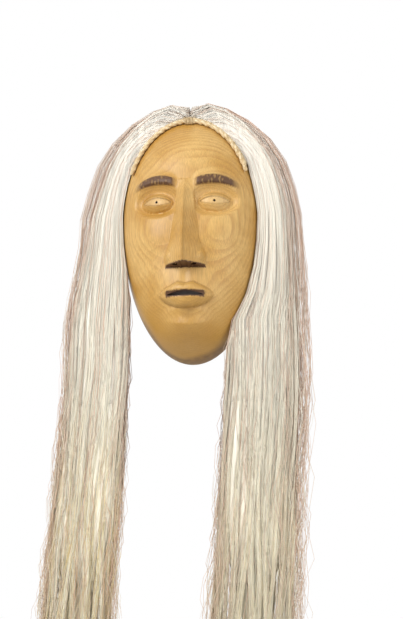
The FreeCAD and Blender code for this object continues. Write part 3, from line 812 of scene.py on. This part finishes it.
def growHank(sideName):
    hank = hanks[sideName]
    look = hairLook
    rng = np.random.default_rng(hank["seed"])
    count = look["strands"]
    clumpU = rng.random(look["clumps"])
    clumpV = rng.uniform(-1, 1, look["clumps"])
    roundTurn = rng.uniform(0, 2 * math.pi, count)
    fromCore = np.where(rng.random(count) < 0.12, rng.uniform(0.3, 0.9, count), rng.uniform(0.9, 1.0, count))
    squared = np.maximum(np.abs(np.cos(roundTurn)), np.abs(np.sin(roundTurn)))
    u0 = np.clip(0.5 + 0.5 * fromCore * np.cos(roundTurn) / squared**0.8, 0, 1)
    v0 = np.clip(fromCore * np.sin(roundTurn) / squared**0.8, -1, 1)
    member = np.argmin((u0[:, None] - clumpU[None]) ** 2 * 9 + (v0[:, None] - clumpV[None]) ** 2, axis=1)
    stray = rng.random(count) < look["strayShare"]
    steps = look["stepsUpper"] + look["stepsLower"]
    crownShare = look["crownShare"]
    splitShare = crownShare + (1 - crownShare) * (middle - look["split"]) / (middle - tipLevel)
    shareDown = np.linspace(crownShare, splitShare, look["stepsUpper"] - 7)[1:]
    shareUpper = np.concatenate((np.linspace(0, crownShare, 8), shareDown))
    reachEnd = 1 - 0.17 * rng.random(count) ** 1.6 * (1 - 0.3 * stray)
    lower = np.linspace(0, 1, look["stepsLower"])
    shareLower = splitShare + (reachEnd[:, None] - splitShare) * lower[None]
    share = np.concatenate((np.repeat(shareUpper[None], count, 0), shareLower), axis=1)
    gather = smoothStep(0.1, 0.9, share) * 0.4
    gather[stray] *= -0.25
    u = u0[:, None] + (clumpU[member][:, None] - u0[:, None]) * gather
    v = v0[:, None] + (clumpV[member][:, None] - v0[:, None]) * gather * 0.7
    angle0 = np.radians(look["rootSpread"]) * (1 - u0[:, None]) ** 1.1
    angle0 = angle0 - np.radians(1.6) + np.radians(3) * rng.random((count, 1))
    u = np.clip(u, 0.0, 1.0)
    v = np.clip(v, -0.97, 0.97)
    x, y, z = strandPath(hank, u, v, share, np.broadcast_to(angle0, u.shape))
    # slow waves shared by a clump, and small ones of each strand's own
    loose = smoothStep(0.16, 0.75, share)
    phase = rng.uniform(0, 2 * math.pi, (look["clumps"], 4))[member]
    own = rng.uniform(0, 2 * math.pi, (count, 4))
    sway = 2.4 * np.sin(share * 9.0 + phase[:, :1]) + 1.5 * np.sin(share * 21 + phase[:, 1:2])
    flick = 0.8 * np.sin(share * 33 + own[:, :1]) + 0.5 * np.sin(share * 61 + own[:, 1:2])
    big = np.where(stray, rng.uniform(2.0, 7.0, count), 1.0)[:, None]
    outward = np.where(stray & (u0 > 0.6), rng.uniform(0, 1, count), 0.0)[:, None]
    inward = np.where(stray & (u0 < 0.4), rng.uniform(0, 9, count), 0.0)[:, None]
    fringe = hank["fringe"] * outward * (1 - hank["fringeFade"] * smoothStep(0.45, 0.75, share))
    crownFringe = 13.0 * outward * (1 - smoothStep(0.24, 0.42, share))
    x = x + loose * (sway + flick * big)
    outFringe = np.maximum(fringe, crownFringe) * smoothStep(0.03, 0.2, share)
    x = x + hank["side"] * (outFringe - inward * smoothStep(0.49, 0.9, share))
    x = np.clip(x, look["farLeft"], look["farRight"])
    z = z + 1.5 * outward * smoothStep(0.0, 0.05, share) * (1 - smoothStep(0.08, 0.26, share))
    y = y + loose * 0.6 * (1.5 * np.sin(share * 11 + phase[:, 2:3]) + flick * 0.6 * np.minimum(big, 2.0))
    y = np.clip(y, -look["front"] - 5.0, -4.0)
    paths = np.stack((x, y, z), axis=-1)
    colors = strandTints(hank, rng, u0, v0, share, stray)
    radii = look["radius"] * rng.uniform(0.7, 1.25, (count, 1)) * (1 - 0.55 * smoothStep(0.75, 1.0, share))
    cutAt = look["stepsUpper"]
    halves = (("Upper", slice(0, cutAt)), ("Lower", slice(cutAt, steps)))
    made = []
    for half, span in halves:
        points, faceSets, source = tubes(paths[:, span], radii[:, span])
        piece = buildMesh(sideName + "Hair" + half, points, faceSets)
        tintPoints(piece, "strandColor", colors[:, span].reshape(-1, 3)[source])
        piece.data.materials.append(strandMaterial)
        made.append(piece)
    return made


# the closed lock inside the loose strands, so that light doesn't pass straight through
def hankCore(sideName):
    hank = hanks[sideName]
    cores = []
    crownShare = hairLook["crownShare"]
    splitShare = crownShare + (1 - crownShare) * (middle - hairLook["split"]) / (middle - tipLevel)
    around = 28
    turn = np.linspace(0, 2 * math.pi, around, endpoint=False)
    for half, shares in (("Upper", np.linspace(0.03, splitShare, 40)), ("Lower", np.linspace(splitShare, 0.90, 30))):
        squared = np.maximum(np.abs(np.cos(turn)), np.abs(np.sin(turn))) ** 0.8
        u = 0.5 + 0.445 * (np.cos(turn) / squared)[None] * np.ones((len(shares), 1))
        v = 0.84 * (np.sin(turn) / squared)[None] * np.ones((len(shares), 1))
        share = np.repeat(shares[:, None], around, axis=1)
        thin = 1 - 0.75 * smoothStep(0.72, 0.9, share)
        u = 0.5 + (u - 0.5) * thin
        v = v * thin
        angle0 = np.radians(hairLook["rootSpread"]) * (1 - u) ** 1.1 + np.radians(1.0)
        x, y, z = strandPath(hank, u, v, share, angle0)
        points = np.stack((x, y, z), axis=-1).reshape(-1, 3)
        piece = buildMesh(sideName + "Lock" + half, points, (loopFaces(len(shares), around),))
        closeEnds(piece)
        bpy.ops.object.shade_smooth()
        place = meshPoints(piece)
        t = smoothStep(middle, tipLevel, place[:, 2] / mm)[:, None]
        tone = np.array(hairColors["ivory"]) * (1 - t) + np.array(hairColors["cream"]) * t
        tintPoints(piece, "strandColor", tone)
        piece.data.materials.append(lockMaterial)
        cores.append(piece)
    return cores


for sideName in hanks:
    upper, lower = growHank(sideName)
    coreUpper, coreLower = hankCore(sideName)
    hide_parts(sideName + "_hair_root")
    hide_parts(sideName + "_hair_neck", sideName + "_hair_fall")
    for piece in (upper, coreUpper):
        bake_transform(piece)
    for piece in (lower, coreLower):
        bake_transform(piece)
    print(sideName, "hank grown,", len(upper.data.polygons) + len(lower.data.polygons), "faces")


def plainMaterial(name, color, dark, scale, rough, metal=0.0, stretch=(1, 1, 1), depth=0.0003):
    material = bpy.data.materials.new(name)
    material.use_nodes = True
    tree = material.node_tree
    shader = tree.nodes["Principled BSDF"]
    place = addNode(tree, "ShaderNodeTexCoord").outputs["Object"]
    drawn = addNode(tree, "ShaderNodeMapping", {"Vector": place, "Scale": stretch})
    speckLinks = {"Vector": drawn.outputs[0], "Scale": scale, "Detail": 5.0, "Roughness": 0.6}
    speck = addNode(tree, "ShaderNodeTexNoise", speckLinks).outputs["Fac"]
    groove = addNode(tree, "ShaderNodeAttribute", attribute_name="groove").outputs["Fac"]
    clean = mixColor(tree, remap(tree, speck, 0.35, 0.65), dark, color)
    tree.links.new(mixColor(tree, math2(tree, "MULTIPLY", groove, 0.7), clean, dark), shader.inputs["Base Color"])
    tree.links.new(remap(tree, speck, 0.3, 0.7, rough + 0.12, rough - 0.08), shader.inputs["Roughness"])
    shader.inputs["Metallic"].default_value = metal
    relief = addNode(tree, "ShaderNodeBump", {"Height": speck, "Strength": 0.8, "Distance": depth})
    tree.links.new(relief.outputs[0], shader.inputs["Normal"])
    return material


hideLook = {
    "gap": 0.3,
    "thick": 2.6,
    "rollRadius": 2.5,
    "rollBack": 39.0,  # from the wall
    "rollStand": 3.2,  # the roll's middle above the wood
    "bandBack": 14.0,
    "length": 58.0,  # along X from the parting
    "parting": 0.45,
    "lobes": 2,
    "twists": 11.0,
    "voxel": 0.42,
    "nailAngles": (10.0, 22.0, 34.0),
    "nailBack": 24.0,
    "nailHole": 0.95,
}
threadLook = {"radius": 0.46, "turns": 9, "length": 8.2, "clear": 0.35, "under": 2.86, "sides": 8}


# places above the crown's wall at an angle from straight up, and the way out of the wood there
def crownPlace(side, angle, back, stand):
    share = domeShare(back)
    slope = maskShape["fullness"] - 1
    lean = (back / maskShape["depth"]) ** slope / maskShape["depth"]
    halfWidth, above = maskShape["halfWidth"], maskShape["above"]
    outX = side * share**slope * np.sin(angle) / halfWidth
    outZ = share**slope * np.cos(angle) / above
    out = np.stack(np.broadcast_arrays(outX, -lean, outZ), axis=-1)
    out = out / np.linalg.norm(out, axis=-1, keepdims=True)
    placeX = side * halfWidth * share * np.sin(angle)
    placeZ = middle + above * share * np.cos(angle)
    place = np.stack(np.broadcast_arrays(placeX, -back, placeZ), axis=-1)
    return place + out * np.asarray(stand)[..., None], out


# the twisted roll along a strip's front edge: its middle line and two ways across it
def rollLine(side, count):
    look = hideLook
    wide = maskShape["halfWidth"] * float(domeShare(look["rollBack"]))
    startAngle = math.asin(look["parting"] / wide)
    endAngle = 0.97 * math.asin(look["length"] / wide)
    angles = np.linspace(startAngle, endAngle, count)
    line, out = crownPlace(side, angles, look["rollBack"], look["rollStand"])
    along = np.gradient(line, axis=0)
    along /= np.linalg.norm(along, axis=1, keepdims=True)
    return line, out, np.cross(along, out)


def makeStrip(sideName):
    look = hideLook
    side = hanks[sideName]["side"]
    rng = np.random.default_rng(hanks[sideName]["seed"] + 40)
    steps, around = 190, 32
    line, out, across = rollLine(side, steps)
    s = np.linspace(0, 1, steps)[:, None]
    turn = np.linspace(0, 2 * math.pi, around, endpoint=False)[None]
    lobe = np.cos(look["lobes"] * turn - look["twists"] * 2 * math.pi * s)
    uneven = 0.035 * np.sin(s * 23 + rng.uniform(0, 6)) + 0.03 * np.sin(s * 51 + rng.uniform(0, 6))
    roundEnds = np.sqrt(np.clip(1 - (2 * s - 1) ** 40, 0.12, 1))
    radius = look["rollRadius"] * (0.85 + 0.15 * lobe + uneven - 0.03) * roundEnds
    ringWay = np.cos(turn)[..., None] * out[:, None] + np.sin(turn)[..., None] * across[:, None]
    points = line[:, None] + radius[..., None] * ringWay
    roll = buildMesh(sideName + "RawhideStrip", points.reshape(-1, 3), (loopFaces(steps, around),))
    # the flat band behind the roll, under the hair
    flatSteps, half = 120, 16
    forth = np.linspace(look["bandBack"], look["rollBack"] - 0.5, half)
    back = np.concatenate((forth, np.linspace(look["rollBack"] - 0.5, look["bandBack"], half)))
    curl = 0.25 * np.sin(np.linspace(0, 9, flatSteps) + rng.uniform(0, 6))[:, None] * np.linspace(1, 0, half)[None]
    topStand = np.full((flatSteps, half), look["gap"] + look["thick"] - 0.45) + curl * 0.8
    stand = np.concatenate((topStand, np.full((flatSteps, half), look["gap"] + 0.12)), axis=1)
    wide = maskShape["halfWidth"] * domeShare(back)
    first, last = np.arcsin(look["parting"] / wide), np.arcsin((look["length"] - 0.6) / wide)
    angle = first[None] + (last - first)[None] * np.linspace(0, 1, flatSteps)[:, None]
    band, _ = crownPlace(side, angle, np.broadcast_to(back, angle.shape), stand)
    flat = buildMesh(sideName + "HideBand", band.reshape(-1, 3), (loopFaces(flatSteps, 2 * half),))
    for part in (roll, flat):
        closeEnds(part)
    flat.select_set(True)
    roll.select_set(True)
    bpy.context.view_layer.objects.active = roll
    bpy.ops.object.join()
    roll.data.remesh_voxel_size = look["voxel"] * mm
    bpy.ops.object.voxel_remesh()
    for degrees in look["nailAngles"]:
        seat, way = crownPlace(side, math.radians(degrees), look["nailBack"], 1.0)
        turned = Vector(way).to_track_quat("Z", "Y").to_euler()
        cutAway(roll, addBar(look["nailHole"], 9, seat, turned, 16))
    # painted shade in the grooves of the twist
    place = meshPoints(roll) / mm
    apart = place[:, None, [0, 2]] - line[None, :, [0, 2]]
    nearest = np.argmin((apart**2).sum(axis=2), axis=1)
    off = place - line[nearest]
    round0 = np.arctan2((off * across[nearest]).sum(axis=1), (off * out[nearest]).sum(axis=1))
    groove = 0.5 - 0.5 * np.cos(look["lobes"] * round0 - look["twists"] * 2 * math.pi * nearest / (steps - 1))
    groove = smoothStep(0.55, 1.0, groove) * (np.linalg.norm(off, axis=1) < 3.6)
    paintPoints(roll, "groove", groove)
    pick(roll)
    bpy.ops.object.shade_smooth()
    roll.data.materials.clear()
    roll.data.materials.append(hideMaterial)
    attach(roll, "mask")
    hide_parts(sideName + "_hide_strip")
    return roll


# one thread wound round both rolls at the parting; each turn goes through the hide behind them
def windThread():
    look = threadLook
    steps = look["turns"] * 28
    centre, out = crownPlace(1, 0.0, hideLook["rollBack"], hideLook["rollStand"])
    across = np.cross((1.0, 0.0, 0.0), out)
    turn = np.linspace(0.9, 0.9 + look["turns"] * 2 * math.pi, steps)
    reach = 2.6 + look["clear"] + look["radius"]
    high = np.maximum(reach * np.sin(turn), -look["under"])
    slide = np.linspace(-0.5, 0.5, steps) * look["length"] + 0.12 * np.sin(turn * 3.1)
    path = centre + high[:, None] * out + (reach * np.cos(turn))[:, None] * across
    path = path + slide[:, None] * np.array((1.0, 0, 0))
    thin = 0.2 + (look["radius"] - 0.2) * smoothStep(-2.8, -1.6, high)
    points, faceSets, _ = tubes(path[None], thin[None], look["sides"])
    thread = buildMesh("windingThread", points, faceSets)
    thread.data.materials.append(threadMaterial)
    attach(thread, "mask")
    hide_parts("parting_wrap")


hideMaterial = plainMaterial("driedHide", (0.80, 0.66, 0.42, 1), (0.55, 0.38, 0.18, 1), 260.0, 0.55)
nailMaterial = plainMaterial("dullBrass", (0.55, 0.38, 0.15, 1), (0.22, 0.13, 0.05, 1), 400.0, 0.45, metal=1.0)
threadMaterial = plainMaterial(
    "waxedThread", (0.72, 0.56, 0.33, 1), (0.36, 0.24, 0.11, 1), 900.0, 0.6, stretch=(1, 0.2, 0.2)
)


def dressNode(name, material):
    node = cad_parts[name]
    node.data.materials.clear()
    node.data.materials.append(material)


for sideName in hanks:
    makeStrip(sideName)
    dressNode(sideName + "_tacks", nailMaterial)
windThread()
print("hide, nails and thread dressed")


studio = {
    "aim": (0.012, -0.03, -0.205),
    "azimuth": 8.0,
    "elevation": -12.0,
    "distance": 1.9,
    "fieldTall": 0.628,
    "keyPower": 27.0,
    "fillPower": 12.0,
    "skyLight": 0.66,
}


def buildStudio():
    look = studio
    aim = Vector(look["aim"])
    turn = math.radians(look["azimuth"])
    lift = math.radians(look["elevation"])
    away = Vector((math.sin(turn) * math.cos(lift), -math.cos(turn) * math.cos(lift), math.sin(lift)))
    camera = bpy.data.objects.new("viewCamera", bpy.data.cameras.new("viewCamera"))
    bpy.context.scene.collection.objects.link(camera)
    camera.location = aim + away * look["distance"]
    camera.rotation_euler = (aim - camera.location).to_track_quat("-Z", "Y").to_euler()
    camera.data.sensor_fit = "VERTICAL"
    camera.data.angle_y = 2 * math.atan(look["fieldTall"] / 2 / look["distance"])
    camera.data.clip_end = 50
    bpy.context.scene.camera = camera
    for name, place, size, power in (
        ("keyLamp", (-0.9, -1.5, 0.45), 1.2, look["keyPower"]),
        ("fillLamp", (1.5, -1.3, -0.4), 1.6, look["fillPower"]),
        ("backLamp", (0.2, 1.6, 1.0), 1.4, look["fillPower"]),
    ):
        lamp = bpy.data.objects.new(name, bpy.data.lights.new(name, "AREA"))
        bpy.context.scene.collection.objects.link(lamp)
        lamp.location = place
        lamp.data.size = size
        lamp.data.energy = power
        lamp.rotation_euler = (aim - lamp.location).to_track_quat("-Z", "Y").to_euler()
    clearSelection()
    bpy.ops.mesh.primitive_plane_add(size=80, location=(0, 0, -2.4))
    floor = bpy.context.object
    floor.name = "paleFloor"
    settle(floor)
    paint = bpy.data.materials.new("palePaint")
    paint.use_nodes = True
    paint.node_tree.nodes["Principled BSDF"].inputs["Base Color"].default_value = (0.8, 0.8, 0.8, 1)
    paint.node_tree.nodes["Principled BSDF"].inputs["Roughness"].default_value = 0.9
    floor.data.materials.append(paint)
    floorTree = paint.node_tree
    glow = addNode(floorTree, "ShaderNodeEmission", {"Color": (0.93, 0.93, 0.93, 1), "Strength": 1.0})
    rayKind = addNode(floorTree, "ShaderNodeLightPath")
    share = math2(floorTree, "MULTIPLY", rayKind.outputs["Is Camera Ray"], 0.75)
    matte = floorTree.nodes["Principled BSDF"].outputs[0]
    floorMix = addNode(floorTree, "ShaderNodeMixShader", {0: share, 1: matte, 2: glow.outputs[0]})
    floorTree.links.new(floorMix.outputs[0], floorTree.nodes["Material Output"].inputs[0])
    world = bpy.data.worlds.new("paleRoom")
    bpy.context.scene.world = world
    world.use_nodes = True
    tree = world.node_tree
    tree.nodes.clear()
    path = addNode(tree, "ShaderNodeLightPath")
    seen = math2(tree, "MAXIMUM", path.outputs["Is Camera Ray"], path.outputs["Is Glossy Ray"])
    seen = math2(tree, "MAXIMUM", seen, path.outputs["Is Transmission Ray"])
    soft = addNode(tree, "ShaderNodeBackground", {"Color": (1, 1, 1, 1), "Strength": look["skyLight"]})
    white = addNode(tree, "ShaderNodeBackground", {"Color": (1, 1, 1, 1), "Strength": 1.0})
    both = addNode(tree, "ShaderNodeMixShader", {0: seen, 1: soft.outputs[0], 2: white.outputs[0]})
    end = addNode(tree, "ShaderNodeOutputWorld")
    tree.links.new(both.outputs[0], end.inputs[0])
    bpy.context.scene.view_settings.view_transform = "Standard"


buildStudio()
print("studio set")
